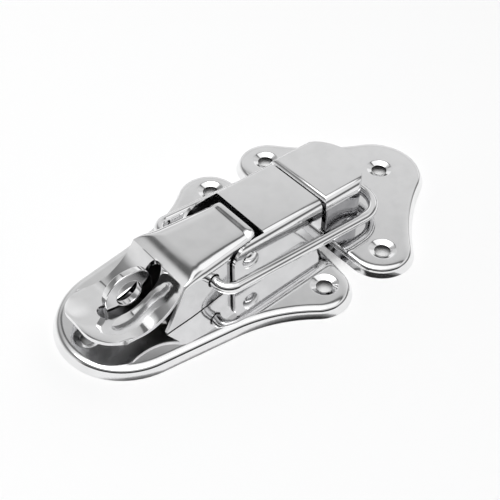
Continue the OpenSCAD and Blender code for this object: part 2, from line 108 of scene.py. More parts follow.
def thicken(obj, sheet, even=True, edge=CUT_EDGE_HIGHLIGHT_SLOT):
    """Give a skin its sheet thickness. The inside gets the dark painted shade, and the cut edge
    gets the sheared edge with its painted highlight, or the painted shade.
    """
    obj.data.materials.clear()
    for finish in (plate_finish, inside_painted_shade, cut_edge_with_highlight):
        obj.data.materials.append(finish)
    apply_modifier(obj, "SOLIDIFY", thickness=sheet * MM, offset=-1, use_even_offset=even,
                   material_offset=PAINTED_SHADE_SLOT, material_offset_rim=edge)


def soften_edges(obj, width, angle=50, segments=2):
    apply_modifier(obj, "BEVEL", width=width * MM, segments=segments, limit_method="ANGLE",
                   angle_limit=math.radians(angle), harden_normals=False)


def carve(obj, cutter, operation="DIFFERENCE", solver="EXACT"):
    """Cut a piece with a helper solid, and throw the helper away."""
    apply_modifier(obj, "BOOLEAN", object=cutter, operation=operation, solver=solver)
    bpy.data.objects.remove(cutter)


def smooth(obj, angle=35):
    make_active(obj)
    bpy.ops.object.shade_smooth_by_angle(angle=math.radians(angle))
    apply_modifier(obj, "WEIGHTED_NORMAL", keep_sharp=True)


def arc(centre, radius, start, end, steps):
    """Points of an arc, both ends included, with angles in degrees."""
    return [(centre[0] + radius * math.cos(math.radians(start + (end - start) * k / steps)),
             centre[1] + radius * math.sin(math.radians(start + (end - start) * k / steps)))
            for k in range(steps + 1)]


print("helpers ready, one unit is", MM, "m")

# %% [markdown]
# Bright plating is almost a mirror, so most of what we see on it is the room. Three small things
# keep it from looking like a computer mirror: the sheet is never quite flat, the polish leaves a
# faint grain, and handling leaves dull patches. A slow noise bends the reflections, a fine
# stretched noise makes the grain, and a third noise moves the roughness up and down.

# %% Plated finishes
RIPPLE_SCALE, PATCH_SCALE, GRAIN_SCALE = 75, 210, 2600


def plated_finish(name, light, dark, rough_low, rough_high, wave, grain, grain_stretch):
    finish = bpy.data.materials.new(name)
    finish.use_nodes = True
    nodes, links = finish.node_tree.nodes, finish.node_tree.links
    shader = nodes["Principled BSDF"]
    shader.inputs["Metallic"].default_value = 1.0
    coords = nodes.new("ShaderNodeTexCoord")

    stretched = nodes.new("ShaderNodeMapping")
    stretched.inputs["Scale"].default_value = grain_stretch
    links.new(coords.outputs["Object"], stretched.inputs["Vector"])

    def noise(scale, detail, source):
        node = nodes.new("ShaderNodeTexNoise")
        node.inputs["Scale"].default_value = scale
        node.inputs["Detail"].default_value = detail
        links.new(source, node.inputs["Vector"])
        return node

    slow = noise(RIPPLE_SCALE, 1.5, coords.outputs["Object"])
    patch = noise(PATCH_SCALE, 4, coords.outputs["Object"])
    fine = noise(GRAIN_SCALE, 3, stretched.outputs["Vector"])

    tint = nodes.new("ShaderNodeValToRGB")
    tint.color_ramp.elements[0].position = 0.35
    tint.color_ramp.elements[0].color = (*dark, 1)
    tint.color_ramp.elements[1].position = 0.6
    tint.color_ramp.elements[1].color = (*light, 1)
    links.new(patch.outputs["Fac"], tint.inputs["Fac"])
    links.new(tint.outputs["Color"], shader.inputs["Base Color"])

    polish = nodes.new("ShaderNodeMapRange")
    polish.inputs["From Min"].default_value = 0.3
    polish.inputs["From Max"].default_value = 0.7
    polish.inputs["To Min"].default_value = rough_low
    polish.inputs["To Max"].default_value = rough_high
    links.new(patch.outputs["Fac"], polish.inputs["Value"])
    links.new(polish.outputs["Result"], shader.inputs["Roughness"])

    ripple = nodes.new("ShaderNodeBump")
    ripple.inputs["Distance"].default_value = wave
    links.new(slow.outputs["Fac"], ripple.inputs["Height"])
    grained = nodes.new("ShaderNodeBump")
    grained.inputs["Distance"].default_value = grain
    links.new(fine.outputs["Fac"], grained.inputs["Height"])
    links.new(ripple.outputs["Normal"], grained.inputs["Normal"])
    links.new(grained.outputs["Normal"], shader.inputs["Normal"])
    return finish


BRIGHT, SHADE = (0.86, 0.86, 0.865), (0.82, 0.82, 0.825)
POLISHED = (0.05, 0.10)
plate_finish = plated_finish("plate_plating", BRIGHT, SHADE, *POLISHED, 1.6e-5, 1.6e-7, (1, 5, 1))
cover_finish = plated_finish("cover_plating", BRIGHT, SHADE, *POLISHED, 1.2e-5, 1.8e-7, (1, 6, 1))
lever_finish = plated_finish("lever_plating", BRIGHT, SHADE, *POLISHED, 1.8e-5, 1.0e-7, (4, 1, 1))
wire_finish = plated_finish("wire_plating", BRIGHT, SHADE, 0.03, 0.07, 6e-6, 8.0e-8, (1, 1, 1))
# Painted shade: the keeper is a darkened copy of the plating, for its place recessed under the
# hood.
keeper_painted_shade = plated_finish("painted_shade_keeper", (0.42, 0.42, 0.43), (0.34, 0.34, 0.35),
                              0.08, 0.14, 1.2e-5, 1.2e-7, (1, 1, 4))
# Painted shade: a near-black copy of the plating for the insides of the sheets and the plates' cut
# edges, where shade falls.
inside_painted_shade = plated_finish("painted_shade_inside", (0.09, 0.09, 0.095), (0.05, 0.05, 0.055),
                             0.35, 0.5, 1e-5, 3.0e-7, (1, 1, 1))
# Painted shade, lighter: a grey copy of the plating for the lever's underside.
underside_painted_shade = plated_finish("lever_inside_painted_shade", (0.36, 0.36, 0.365), (0.28, 0.28, 0.285),
                             0.3, 0.45, 1e-5, 3.0e-7, (1, 1, 1))
# Cut edges: rougher, as sheared steel is, and brighter than the plating, a painted highlight along
# the edges.
cut_edge_with_highlight = plated_finish("sheared_edge_painted_highlight", (0.93, 0.93, 0.935), (0.86, 0.86, 0.865),
                            0.3, 0.42, 4e-6, 3.0e-7, (1, 1, 3))
print("finishes:", plate_finish.name, cover_finish.name, lever_finish.name, wire_finish.name)


def finish_piece(obj, name, body, node, finish):
    """Name a finished piece, put its finish on, tie it to its body, and hide the part it stands
    for.
    """
    obj.name = name
    obj.data.name = name
    if not obj.data.materials:
        obj.data.materials.append(finish)
    obj.data.materials[SKIN] = finish
    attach(obj, body)
    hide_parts(node)
    print(name, "has", len(obj.data.polygons), "faces and rides on", body)


# %% [markdown]
# The two plates are pressed from flat blanks. Their outlines are arcs that run into each other:
# a round end, a hollow flank and two round screw lobes. We work out where the arcs meet, as a
# draughtsman would, rather than placing points by eye, so the highlight along the rim stays smooth.

# %% Outlines of the plates
LOBE_R = 9.5
ROUND_STEPS, END_STEPS, HOLLOW_STEPS = 40, 36, 24


def mirrored(half, skip):
    """Add the other half of an outline, without doubling the points in skip."""
    other = [(x, -y) for x, y in reversed(half)]
    return half + [p for p in other if all(math.dist(p, half[k]) > 1e-6 for k in skip)]


def base_outline():
    end, end_r, lean, hollow_r = Vector((-55.2, 0)), 19.0, 8.0, 40.0
    lobe, toe, edge_x = Vector((-12.6, 22.6)), 8.0, -2.0
    along = Vector((math.cos(math.radians(lean)), math.sin(math.radians(lean))))
    across = Vector((-along.y, along.x))
    start = end + end_r * across
    offset = start + hollow_r * across - lobe
    h = offset.dot(along)
    run = -h - math.sqrt(h * h - offset.length_squared + (hollow_r + LOBE_R) ** 2)
    hollow = start + run * along + hollow_r * across
    join = math.degrees(math.atan2(*(hollow - lobe).yx))
    tip = lobe + LOBE_R * Vector((math.cos(math.radians(toe)), math.sin(math.radians(toe))))
    corner = (edge_x, tip.y - (edge_x - tip.x) / math.tan(math.radians(toe)))
    half = [corner] + arc(lobe, LOBE_R, toe, join, ROUND_STEPS)
    half += arc(hollow, hollow_r, join - 180, lean - 90, HOLLOW_STEPS)[1:]
    half += arc(end, end_r, 90 + lean, 180, ROUND_STEPS)
    return mirrored(half, [-1])


def catch_outline():
    end, end_r, lobe, hollow_r = Vector((31.2, 0)), 14.2, Vector((10.0, 23.0)), 65.0
    span = end - lobe
    near, far = hollow_r + LOBE_R, hollow_r + end_r
    d = span.length
    m = (d * d + near * near - far * far) / (2 * d)
    unit = span / d
    hollow = lobe + m * unit + math.sqrt(near * near - m * m) * Vector((-unit.y, unit.x))
    low = math.degrees(math.atan2(*(hollow - end).yx))
    high = math.degrees(math.atan2(*(hollow - lobe).yx))
    half = arc(end, end_r, 0, low, END_STEPS)
    half += arc(hollow, hollow_r, low + 180, high + 180, HOLLOW_STEPS)[1:]
    half += arc(lobe, LOBE_R, high, 180, ROUND_STEPS)[1:]
    return mirrored(half, [0])


print("outline points:", len(base_outline()), len(catch_outline()))

# %% [markdown]
# A plate starts as one flat face with that outline. Inset steps then roll the rim. Each step moves
# the face in and up a little, first up the leaning wall, then round the bend and over a last faint
# slope. The flat top is filled again around a ring for each screw hole, and each ring is drawn down
# as the press draws a shallow dimple. Last, Solidify gives the sheet its thickness towards the
# inside, and the foot is levelled, so that the plate stands on the table.

# %% Press a plate
PLATE_T, PLATE_H, RIM_LEAN, RIM_R = 0.9, 2.7, 0.7, 1.3
RIM_FOOT, ROLL_STEP, ROLL_END = (0.06, 0.12), 9, 81
RIM_DIP = [(0.3, 0.04), (0.35, 0.033), (0.35, 0.018), (0.3, 0.006)]
CONE_R, CONE_DROP, CONE_SLOPE = 3.5, 0.096, math.tan(math.radians(21))
DIMPLE_DROPS = [(4.0, 0), (3.86, 0.006), (3.72, 0.026), (3.6, 0.06), (CONE_R, CONE_DROP)]
DIMPLE_DROPS += [(r, CONE_DROP + (CONE_R - r) * CONE_SLOPE) for r in (3.1, 2.7, 2.3)]
DIMPLE_DROPS += [(2.18, 0.62), (2.12, 0.7)]
DIMPLE = [(r, PLATE_H - drop) for r, drop in DIMPLE_DROPS]
RING_POINTS = 56


def rim_steps():
    wall_top = PLATE_H - RIM_R * math.sin(math.radians(ROLL_END)) - sum(up for _, up in RIM_DIP)
    section = [(0.0, 0.0), RIM_FOOT, (RIM_LEAN, wall_top)]
    section += [(RIM_LEAN + RIM_R * (1 - math.cos(math.radians(a))),
                 wall_top + RIM_R * math.sin(math.radians(a)))
                for a in range(ROLL_STEP, ROLL_END + 1, ROLL_STEP)]
    for inward, up in RIM_DIP:
        section.append((section[-1][0] + inward, section[-1][1] + up))
    return [(b[0] - a[0], b[1] - a[1]) for a, b in zip(section, section[1:])]


def press_plate(outline, holes):
    start_piece()
    bpy.ops.mesh.primitive_circle_add(vertices=len(outline), radius=MM, fill_type="NGON")
    plate = bpy.context.object
    for vertex, (x, y) in zip(plate.data.vertices, outline):
        vertex.co = place(x, y, 0)
    edit(plate, "FACE")
    bpy.ops.mesh.select_all(action="SELECT")
    for inward, up in rim_steps():
        bpy.ops.mesh.inset(thickness=inward * MM, depth=up * MM, use_even_offset=True)
    bpy.ops.mesh.delete(type="ONLY_FACE")
    top = (PLATE_H - 0.001) * MM
    for x, y in holes:
        bpy.ops.mesh.primitive_circle_add(vertices=RING_POINTS, radius=DIMPLE[0][0] * MM,
                                          location=place(x, y, DIMPLE[0][1]))
    select_where(plate, "EDGE", lambda e: not e.link_faces or (
        len(e.link_faces) == 1 and all(v.co.z > top for v in e.verts)))
    bpy.ops.mesh.fill(use_beauty=True)
    for x, y in holes:
        draw_dimple(plate, x, y)
    bpy.ops.object.mode_set(mode="OBJECT")
    return plate


def draw_dimple(plate, x, y):
    centre = place(x, y, DIMPLE[0][1])
    for (r0, z0), (r1, z1) in zip(DIMPLE, DIMPLE[1:]):
        select_where(plate, "EDGE", lambda e: len(e.link_faces) == 1 and all(
            abs((v.co.xy - centre.xy).length - r0 * MM) < 2e-5 for v in e.verts))
        bpy.ops.mesh.extrude_region_move(TRANSFORM_OT_translate={"value": (0, 0, (z1 - z0) * MM)})
        bpy.ops.transform.resize(value=(r1 / r0, r1 / r0, 1), center_override=centre)


def complete_plate(outline, holes, name, node):
    plate = press_plate(outline, holes)
    edit(plate, "FACE")
    bpy.ops.mesh.select_all(action="SELECT")
    bpy.ops.mesh.remove_doubles(threshold=1e-6)
    bpy.ops.mesh.normals_make_consistent(inside=False)
    bpy.ops.object.mode_set(mode="OBJECT")
    if sum(f.normal.z * f.area for f in plate.data.polygons) < 0:
        plate.data.flip_normals()
    # The plates' insides and cut edges, the screw holes' edges too, get the dark painted shade.
    thicken(plate, PLATE_T, edge=PAINTED_SHADE_SLOT)
    for vertex in plate.data.vertices:
        vertex.co.z = max(vertex.co.z, 0.0)
    soften_edges(plate, 0.24, angle=58, segments=3)
    smooth(plate, 40)
    finish_piece(plate, name, "frame", node, plate_finish)


BASE_HOLES = [(-10.9, 23.9), (-10.9, -23.9), (-66.8, 0)]
CATCH_HOLES = [(9.9, 24.2), (9.9, -24.2), (33.1, 0)]
complete_plate(base_outline(), BASE_HOLES, "base_plate_pressing", "base_plate")
complete_plate(catch_outline(), CATCH_HOLES, "catch_plate_pressing", "catch_plate")

# %% [markdown]
# The bracket is a bridge: a strip folded into a channel, with its walls cut into round ears at the
# lever's end. A cube with its two long top edges bevelled is already a folded channel once the
# floor and the ends are deleted. The ears come from a cutter with the outline of the waste, which
# is how the blank is cut too. Small boxes under the walls are the staked tenons.

# %% Bracket
BRACKET_HALF, BRACKET_TOP, SHEET = 10.9, 16.0, 0.9
BRACKET_X0, BRACKET_X1, BRACKET_TOP_X0 = -29.9, -0.5, -19.4
PIVOT_X, PIVOT_Z, EAR_R, EAR_IN = -24.7, 10.3, 5.2, 9.75
FOLD_R, TENON_LOW, TENON_HIGH = 2.2, 1.4, 3.0
BRACKET_TENONS, TENON_Y = (-25.9, -15.2, -4.5), 10.45
OVER_TOP, PAST_SIDE = 18, 14


def add_box(low, high):
    start_piece()
    a, b = place(*low), place(*high)
    bpy.ops.mesh.primitive_cube_add(size=1, location=(a + b) / 2, scale=b - a)
    bpy.ops.object.transform_apply(location=True, rotation=True, scale=True)
    return bpy.context.object


def add_prism(outline, low, high, axis):
    """A solid from an outline: of X and Y, extruded along Z, or of X and Z, extruded along Y."""
    start_piece()
    bpy.ops.mesh.primitive_circle_add(vertices=len(outline), radius=MM, fill_type="NGON")
    prism = bpy.context.object
    for vertex, (x, other) in zip(prism.data.vertices, outline):
        vertex.co = place(x, other, low) if axis == "Z" else place(x, low, other)
    edit(prism, "FACE")
    bpy.ops.mesh.select_all(action="SELECT")
    rise = (high - low) * MM
    step = (0, 0, rise) if axis == "Z" else (0, rise, 0)
    bpy.ops.mesh.extrude_region_move(TRANSFORM_OT_translate={"value": step})
    bpy.ops.mesh.select_all(action="SELECT")
    bpy.ops.mesh.normals_make_consistent(inside=False)
    bpy.ops.object.mode_set(mode="OBJECT")
    return prism


def join_pieces(first, *others):
    make_active(first)
    for other in others:
        other.select_set(True)
    bpy.ops.object.join()
    return first


def folded_channel(x0, x1, half, low, top, fold_r):
    channel = add_box((x0, -half, low), (x1, half, top))
    edit(channel, "EDGE")
    select_where(channel, "EDGE", lambda e: all(v.co.z > (top - 0.01) * MM for v in e.verts)
                 and abs(e.verts[0].co.y - e.verts[1].co.y) < 1e-6)
    bpy.ops.mesh.bevel(offset=fold_r * MM, segments=12, profile=0.5, affect="EDGES")
    bpy.ops.object.mode_set(mode="OBJECT")
    return channel


def tenons(places, half, thick, length=4.0):
    return [add_box((x - length / 2, y - thick / 2, TENON_LOW),
                    (x + length / 2, y + thick / 2, TENON_HIGH)) for x in places for y in half]


bracket = folded_channel(BRACKET_X0, BRACKET_X1, BRACKET_HALF, PLATE_H, BRACKET_TOP, FOLD_R)
edit(bracket, "FACE")
select_where(bracket, "FACE", lambda f: f.normal.z < -0.9 or abs(f.normal.x) > 0.9)
bpy.ops.mesh.delete(type="FACE")
bpy.ops.object.mode_set(mode="OBJECT")
thicken(bracket, SHEET)
ear_waste = [(BRACKET_X0 - 2, PIVOT_Z)] + arc((PIVOT_X, PIVOT_Z), EAR_R, 180, 90, 24)
ear_waste += [(BRACKET_TOP_X0, BRACKET_TOP), (BRACKET_TOP_X0, OVER_TOP), (BRACKET_X0 - 2, OVER_TOP)]
carve(bracket, add_prism(ear_waste, -PAST_SIDE, PAST_SIDE, "Y"))
carve(bracket, add_box((BRACKET_X0 - 2, -EAR_IN, BRACKET_TOP - FOLD_R),
                       (BRACKET_TOP_X0, EAR_IN, OVER_TOP)))
soften_edges(bracket, 0.14)
for tenon in tenons(BRACKET_TENONS, (-TENON_Y, TENON_Y), SHEET):
    join_pieces(bracket, tenon)
smooth(bracket)
finish_piece(bracket, "bracket_channel", "frame", "bracket", cover_finish)

# %% [markdown]
# The lever turns on a long rivet. Only its two domed heads show. Each is a ball, cut off flat by
# bisect where it sits on the bracket's ear.

# %% Rivet
PIN_R, HEAD_R, HEAD_H, HEAD_EDGE = 1.5, 2.4, 1.0, 0.3


def rivet_head(side):
    dome = HEAD_H - HEAD_EDGE
    ball = (HEAD_R ** 2 + dome ** 2) / (2 * dome)
    start_piece()
    bpy.ops.mesh.primitive_uv_sphere_add(segments=48, ring_count=32, radius=ball * MM,
        location=place(PIVOT_X, side * (BRACKET_HALF + HEAD_H - ball), PIVOT_Z),
        rotation=(math.pi / 2, 0, 0))
    head = bpy.context.object
    bpy.ops.object.transform_apply(location=True, rotation=True, scale=True)
    edit(head, "FACE")
    bpy.ops.mesh.select_all(action="SELECT")
    bpy.ops.mesh.bisect(plane_co=place(PIVOT_X, side * (BRACKET_HALF + HEAD_EDGE), PIVOT_Z),
                        plane_no=(0, side, 0), use_fill=True, clear_inner=True)
    select_where(head, "FACE", lambda f: f.normal.y * side < -0.99)
    inwards = (0, -side * HEAD_EDGE * MM, 0)
    bpy.ops.mesh.extrude_region_move(TRANSFORM_OT_translate={"value": inwards})
    bpy.ops.object.mode_set(mode="OBJECT")
    return head


start_piece()
bpy.ops.mesh.primitive_cylinder_add(vertices=48, radius=PIN_R * MM, depth=2 * BRACKET_HALF * MM,
                                    location=place(PIVOT_X, 0, PIVOT_Z),
                                    rotation=(math.pi / 2, 0, 0))
rivet = bpy.context.object
bpy.ops.object.transform_apply(location=True, rotation=True, scale=True)
rivet = join_pieces(rivet, rivet_head(-1), rivet_head(1))
smooth(rivet, 30)
finish_piece(rivet, "lever_rivet", "frame", "lever_pin", wire_finish)

# %% [markdown]
# The lever is the hardest piece. It is one sheet: a channel whose top rolls over a crest and
# then dips into the scooped lip that a thumb lifts. A cube can't become that, so we start from a
# flat grid and bend it. Every row of the grid is a station along the lever and every column a line
# along its length. The first rows make the small step that the press leaves at the rear, and two
# guide curves, one down the middle and one along the edge, shape the lip.

# %% Grid of the lever
FLAT_COLS, SOFT_COLS, BEND_COLS, WALL_COLS = 10, 10, 8, 5
EAR_COL = FLAT_COLS + SOFT_COLS
WALL_COL = EAR_COL + BEND_COLS
FOOT_COL = WALL_COL + WALL_COLS
LEVER_FOOT, SOFT_TILT = 3.0, math.radians(30)
CREST_X, CREST_Z, CREST_RUN, CREST_SLOPE, CREST_POWER = -45.2, 14.9, 6.2, 0.2, 1.45
SHOULDER_BOW, SHOULDER_TUCK, BLEND = 0.125, 0.15, 4
LEVER_FOLD_R, CREST_FOLD_R, TIGHTEN_X, TIGHTEN_RUN = 2.1, 0.95, -38, 7
WALL_LEAN, WALL_BACK, BACK_SHARE, WALL_FLARE = 7.6, 1.1, 0.09, 0.7
LEAN_X, FLARE_RUN = -33, 8
HEEL_X, HEEL_RUN, HEEL_RISE = -26.5, 5.2, 3.6
REAR_Y, REAR_BOW, REAR_RAKE, REAR_RUN, REAR_MAX = 6.5, 0.25, 0.1, 4.0, 2.4
WIDE_X, WIDE_HALF, WIDE_TAPER = -29.9, 9.5, math.tan(math.radians(6))
TOP_Z, STEP_END = 15.0, -24.5
STEP = [(-20.5, 15.28), (-20.9, 15.28), (-21.3, 15.28), (-21.5, 15.272), (-21.7, 15.248),
        (-21.9, 15.21), (-22.3, 15.126), (-22.7, 15.042), (-22.85, 15.016), (-23.0, 15.004),
        (-23.2, TOP_Z), (STEP_END, TOP_Z)]
TOP_FALL = (TOP_Z - CREST_Z) / (STEP_END - CREST_X)
CHANNEL_ROWS = STEP + [(x / 2, TOP_Z - (STEP_END - x / 2) * TOP_FALL) for x in range(-51, -91, -1)]
CHANNEL_ROWS.append((CREST_X, CREST_Z))
CREST_ROW = len(CHANNEL_ROWS) - 1
SOFT_WIDTH = [(-45.2, 0.8), (-44.2, 1.7), (-43.0, 2.6), (-41.0, 3.4), (-38.5, 3.8), (-34.0, 3.8),
              (-30.0, 3.5), (-25.0, 2.9), (-20.0, 2.4)]
MIDDLE_GUIDE = [(-45.2, 14.045), (-45.75, 13.4), (-46.4, 12.55), (-47.5, 11.15), (-48.8, 9.85),
                (-50.6, 8.55), (-52.6, 7.5), (-54.8, 6.75), (-56.9, 6.5), (-59.8, 7.0),
                (-63.4, 7.9), (-68.2, 9.3), (-69.5, 9.6)]
EDGE_GUIDE = [(-45.2, 14.045), (-46.1, 12.8), (-47.1, 11.52), (-48.3, 10.3), (-49.9, 9.0),
              (-51.5, 7.95), (-53.2, 7.15), (-55.2, 6.55), (-57.2, 6.35), (-59.3, 6.55),
              (-61.0, 6.95), (-62.0, 7.25), (-62.3, 7.35)]
LIP_HALF, LIP_CORNER, LIP_ROUND = 10.6, 7.2, 0.97
EVEN_ROWS, WIDEN_ROWS, GUIDE_STEPS = 20, 14, 6


def through(points, steps):
    """A smooth curve through a few points, by the Catmull-Rom rule."""
    ends = [tuple(2 * a - b for a, b in zip(points[0], points[1]))]
    tail = [tuple(2 * a - b for a, b in zip(points[-1], points[-2]))]
    p = ends + list(points) + tail
    curve = []
    for i in range(1, len(p) - 2):
        for s in range(steps):
            t = s / steps
            curve.append(tuple(0.5 * (2 * b + (c - a) * t + (2 * a - 5 * b + 4 * c - d) * t * t
                                      + (3 * b - a - 3 * c + d) * t ** 3)
                               for a, b, c, d in zip(p[i - 1], p[i], p[i + 1], p[i + 2])))
    return curve + [points[-1]]


middle_line, edge_line = through(MIDDLE_GUIDE, GUIDE_STEPS), through(EDGE_GUIDE, GUIDE_STEPS)
LIP_ROWS = len(middle_line) - 1
LAST_ROW = CREST_ROW + LIP_ROWS
print("lever grid:", LAST_ROW + 1, "rows and", 2 * FOOT_COL + 1, "columns")

# %% [markdown]
# In the channel, a column's number says how far round the section it is: over the flat top, down a
# soft shoulder, round the fold, then down the wall. Near the crest the shoulders narrow into two
# pointed corners, the top rolls over between them, and the walls' front edges lean forward. The lip
# falls steeply from the crest, flattens out beside the slot and rises again to its round front.

# %% Bend the grid


def ease(t):
    t = min(1.0, max(0.0, t))
    return t * t * (3 - 2 * t)


def read_off(table, x):
    """Read a value off a short table of pairs, on straight lines between them."""
    for (x0, v0), (x1, v1) in zip(table, table[1:]):
        if x <= x1 or x1 == table[-1][0]:
            return v0 + (v1 - v0) * min(1.0, max(0.0, (x - x0) / (x1 - x0)))


def half_width(x):
    return WIDE_HALF + (WIDE_X - x) * WIDE_TAPER


def section_point(x, k):
    """A column's distance from the middle, and its drops over the shoulder and round the fold."""
    soft = read_off(SOFT_WIDTH, x)
    tighter = ease((TIGHTEN_X - x) / TIGHTEN_RUN)
    fold_r = LEVER_FOLD_R - (LEVER_FOLD_R - CREST_FOLD_R) * tighter
    flat = half_width(x) - fold_r * (1 - math.sin(SOFT_TILT)) - soft
    t = min(1.0, max(0.0, (k - FLAT_COLS) / SOFT_COLS))
    round_fold = min(1.0, max(0.0, (k - EAR_COL) / BEND_COLS))
    turn = SOFT_TILT + (math.pi / 2 - SOFT_TILT) * round_fold
    y = flat * min(1.0, k / FLAT_COLS) + soft * t + fold_r * (math.sin(turn) - math.sin(SOFT_TILT))
    shoulder = soft * (SHOULDER_BOW * t ** 2 + SHOULDER_TUCK * t ** 5) * math.tan(SOFT_TILT)
    return y, shoulder, fold_r * (math.cos(SOFT_TILT) - math.cos(turn))


def crest_drop(x):
    """How far the top has rolled down on its way to the crest."""
    along = max(0.0, (CREST_X + CREST_RUN - x) / CREST_RUN)
    return CREST_SLOPE * CREST_RUN / CREST_POWER * along ** CREST_POWER


def channel_point(row, col):
    x, top = CHANNEL_ROWS[row]
    k, side = abs(col), math.copysign(1, col)
    y, shoulder, fold = section_point(x, k)
    z = top - (shoulder ** BLEND + crest_drop(x) ** BLEND) ** (1 / BLEND) - fold
    foot = LEVER_FOOT + max(0.0, (x - HEEL_X) / HEEL_RUN) ** 1.5 * HEEL_RISE
    if k > WALL_COL:
        z += (foot - z) * (k - WALL_COL) / WALL_COLS
        y += WALL_FLARE * (k - WALL_COL) / WALL_COLS * ease((LEAN_X - x) / FLARE_RUN)
    lean = 0
    if k > EAR_COL:
        down = (top - z) / (top - foot)
        lean = WALL_LEAN * down - WALL_BACK * ease(down / BACK_SHARE)
        lean *= ease((LEAN_X - x) / (LEAN_X - CREST_X))
    rear = REAR_BOW * max(0.0, y - REAR_Y) ** 2 + REAR_RAKE * (top - z)
    rear *= max(0.0, (x - STEP_END) / REAR_RUN)
    return place(x - lean - min(rear, REAR_MAX), side * y, z)


def lip_point(row, col):
    q = row - CREST_ROW
    t = q / LIP_ROWS
    k = abs(col)
    own_y, corner_y = (section_point(CREST_X, c)[0] for c in (k, EAR_COL))
    even = math.sin(math.pi / 2 * k / EAR_COL)
    f = own_y / corner_y + (even - own_y / corner_y) * ease(q / EVEN_ROWS)
    (mx, mz), (ex, ez) = middle_line[q], edge_line[q]
    y = f * (corner_y + (LIP_HALF - corner_y) * ease(q / WIDEN_ROWS))
    u = LIP_ROUND * max(0.0, (y - LIP_HALF + LIP_CORNER) / LIP_CORNER)
    front = (1 - math.sqrt(1 - u * u)) / (1 - math.sqrt(1 - LIP_ROUND ** 2))
    blend = (1 - t) * f * f + t * front
    return place(mx + (ex - mx) * blend, math.copysign(1, col) * y, mz + (ez - mz) * f * f)


start_piece()
bpy.ops.mesh.primitive_grid_add(x_subdivisions=LAST_ROW, y_subdivisions=2 * FOOT_COL, size=1)
lever = bpy.context.object
spare = []
for vertex in lever.data.vertices:
    row = round((vertex.co.x + 0.5) * LAST_ROW)
    col = round((vertex.co.y + 0.5) * 2 * FOOT_COL) - FOOT_COL
    if row > CREST_ROW and abs(col) > EAR_COL:
        spare.append(vertex.index)
    else:
        vertex.co = channel_point(row, col) if row <= CREST_ROW else lip_point(row, col)
edit(lever, "VERT")
spare = set(spare)
select_where(lever, "VERT", lambda v: v.index in spare)
bpy.ops.mesh.delete(type="VERT")
bpy.ops.mesh.select_all(action="SELECT")
bpy.ops.mesh.normals_make_consistent(inside=False)
bpy.ops.object.mode_set(mode="OBJECT")
if sum(f.normal.z * f.area for f in lever.data.polygons) < 0:
    lever.data.flip_normals()
thicken(lever, SHEET, even=False)
# The lever's underside gets the lighter painted shade.
lever.data.materials[PAINTED_SHADE_SLOT] = underside_painted_shade
print("lever sheet:", len(lever.data.polygons), "faces")

# %% [markdown]
# The slot in the lip and the four round holes are punched. A cutter with the slot's outline goes
# straight down through the sheet, and two cylinders go across it. Then the cut edges are softened.

# %% Punch the lever
BAIL_X, BAIL_Z, WIRE_R = -35.9, 9.8, 1.5
SLOT_X0, SLOT_X1, SLOT_R = -63.3, -44.8, 2.65
PIN_PLAY, WIRE_PLAY = 0.05, 0.4


def add_rod(x, z, radius, half_length, sides=40):
    start_piece()
    bpy.ops.mesh.primitive_cylinder_add(vertices=sides, radius=radius * MM,
                                        depth=2 * half_length * MM, location=place(x, 0, z),
                                        rotation=(math.pi / 2, 0, 0))
    bpy.ops.object.transform_apply(location=True, rotation=True, scale=True)
    return bpy.context.object


slot = arc((SLOT_X1 - SLOT_R, 0), SLOT_R, -90, 90, 16)
slot += arc((SLOT_X0 + SLOT_R, 0), SLOT_R, 90, 270, 16)
for punch in (add_prism(slot, 4, OVER_TOP, "Z"),
              add_rod(PIVOT_X, PIVOT_Z, PIN_R + PIN_PLAY, PAST_SIDE),
              add_rod(BAIL_X, BAIL_Z, WIRE_R + WIRE_PLAY, PAST_SIDE)):
    carve(lever, punch, solver="MANIFOLD")
soften_edges(lever, 0.18, angle=58, segments=3)
smooth(lever, 40)
finish_piece(lever, "lever_pressing", "lever", "lever", lever_finish)

# %% [markdown]
# The bail is a single wire, bent four times. We do as the wire bender does: start with the round
# end of the wire, extrude the straight lengths and spin the bends. Half the loop is enough, and a
# Mirror modifier makes the other half. It is drawn level and then tilted down to the keeper.

# %% Bail
BAIL_HALF, TURN_R, HOOK_R = 15.2, 3.5, 8.0
HOOK_X, HOOK_Z = 19.45, 6.2
WIRE_END_Y = 7.63
bail_len = math.hypot(HOOK_X - BAIL_X, HOOK_Z - BAIL_Z)
bail_tilt = math.atan2(BAIL_Z - HOOK_Z, HOOK_X - BAIL_X)


def draw_wire(step):
    bpy.ops.mesh.extrude_region_move(TRANSFORM_OT_translate={"value": tuple(c * MM for c in step)})


def bend_wire(x, y):
    """Carry the end of the wire a quarter turn to the right about a centre."""
    bpy.ops.mesh.spin(steps=20, angle=math.pi / 2, center=(x * MM, y * MM, 0), axis=(0, 0, 1))


start_piece()
bpy.ops.mesh.primitive_circle_add(vertices=32, radius=WIRE_R * MM, location=(0, WIRE_END_Y * MM, 0),
                                  rotation=(math.pi / 2, 0, 0))
bail = bpy.context.object
bpy.ops.object.transform_apply(location=True, rotation=True, scale=True)
edit(bail, "EDGE")
bpy.ops.mesh.select_all(action="SELECT")
draw_wire((0, BAIL_HALF - TURN_R - WIRE_END_Y, 0))
bend_wire(TURN_R, BAIL_HALF - TURN_R)
draw_wire((bail_len - HOOK_R - TURN_R, 0, 0))
bend_wire(bail_len - HOOK_R, BAIL_HALF - HOOK_R)
draw_wire((0, HOOK_R - BAIL_HALF, 0))
bpy.ops.object.mode_set(mode="OBJECT")
apply_modifier(bail, "MIRROR", use_axis=(False, True, False), use_clip=True, merge_threshold=1e-5)
edit(bail, "EDGE")
for side in (-1, 1):
    select_where(bail, "EDGE", lambda e: len(e.link_faces) == 1 and e.verts[0].co.y * side > 0)
    bpy.ops.mesh.edge_face_add()
bpy.ops.mesh.select_all(action="SELECT")
bpy.ops.mesh.remove_doubles(threshold=1e-6)
